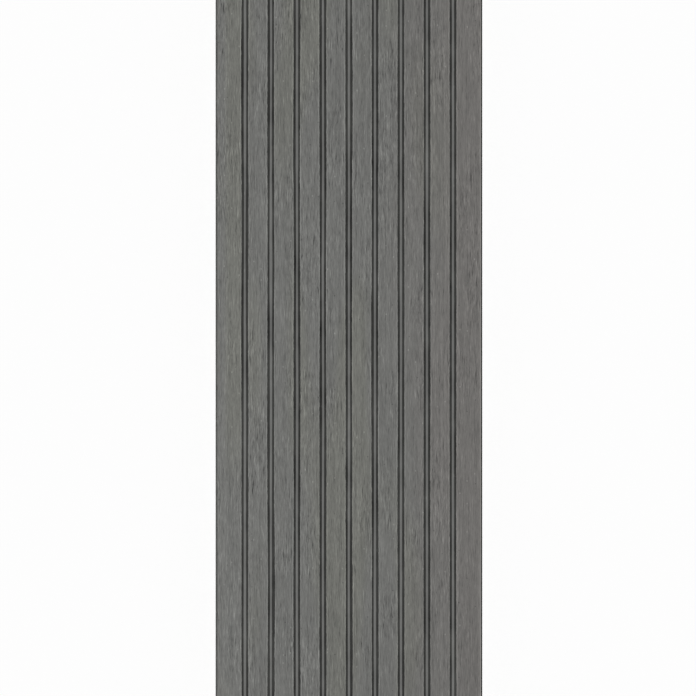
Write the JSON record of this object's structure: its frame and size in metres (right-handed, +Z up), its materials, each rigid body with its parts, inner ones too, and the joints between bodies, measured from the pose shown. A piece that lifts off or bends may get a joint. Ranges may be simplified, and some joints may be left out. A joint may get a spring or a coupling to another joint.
{
  "type": "composite deck board",
  "caption": "Hollow wood-plastic deck board: brushed walking face with wide grooves, finely fluted underside, a clip slot along each long edge and chambers through its core.",
  "frame": {"origin": "centre of the underside, on the plane of the lands that rest on the joists", "axes": "+X across the width, +Y along the length, +Z up through the grooved walking face"},
  "size_m": [0.145, 2.4, 0.021],
  "materials": {
    "grey_composite": "mid-grey wood-plastic composite, brushed lengthwise on the ribs and left as extruded in the grooves, slots and chambers, sawn at both ends"
  },
  "bodies": {
    "root": {"deck_board": "grey_composite"}
  },
  "joints": []
}
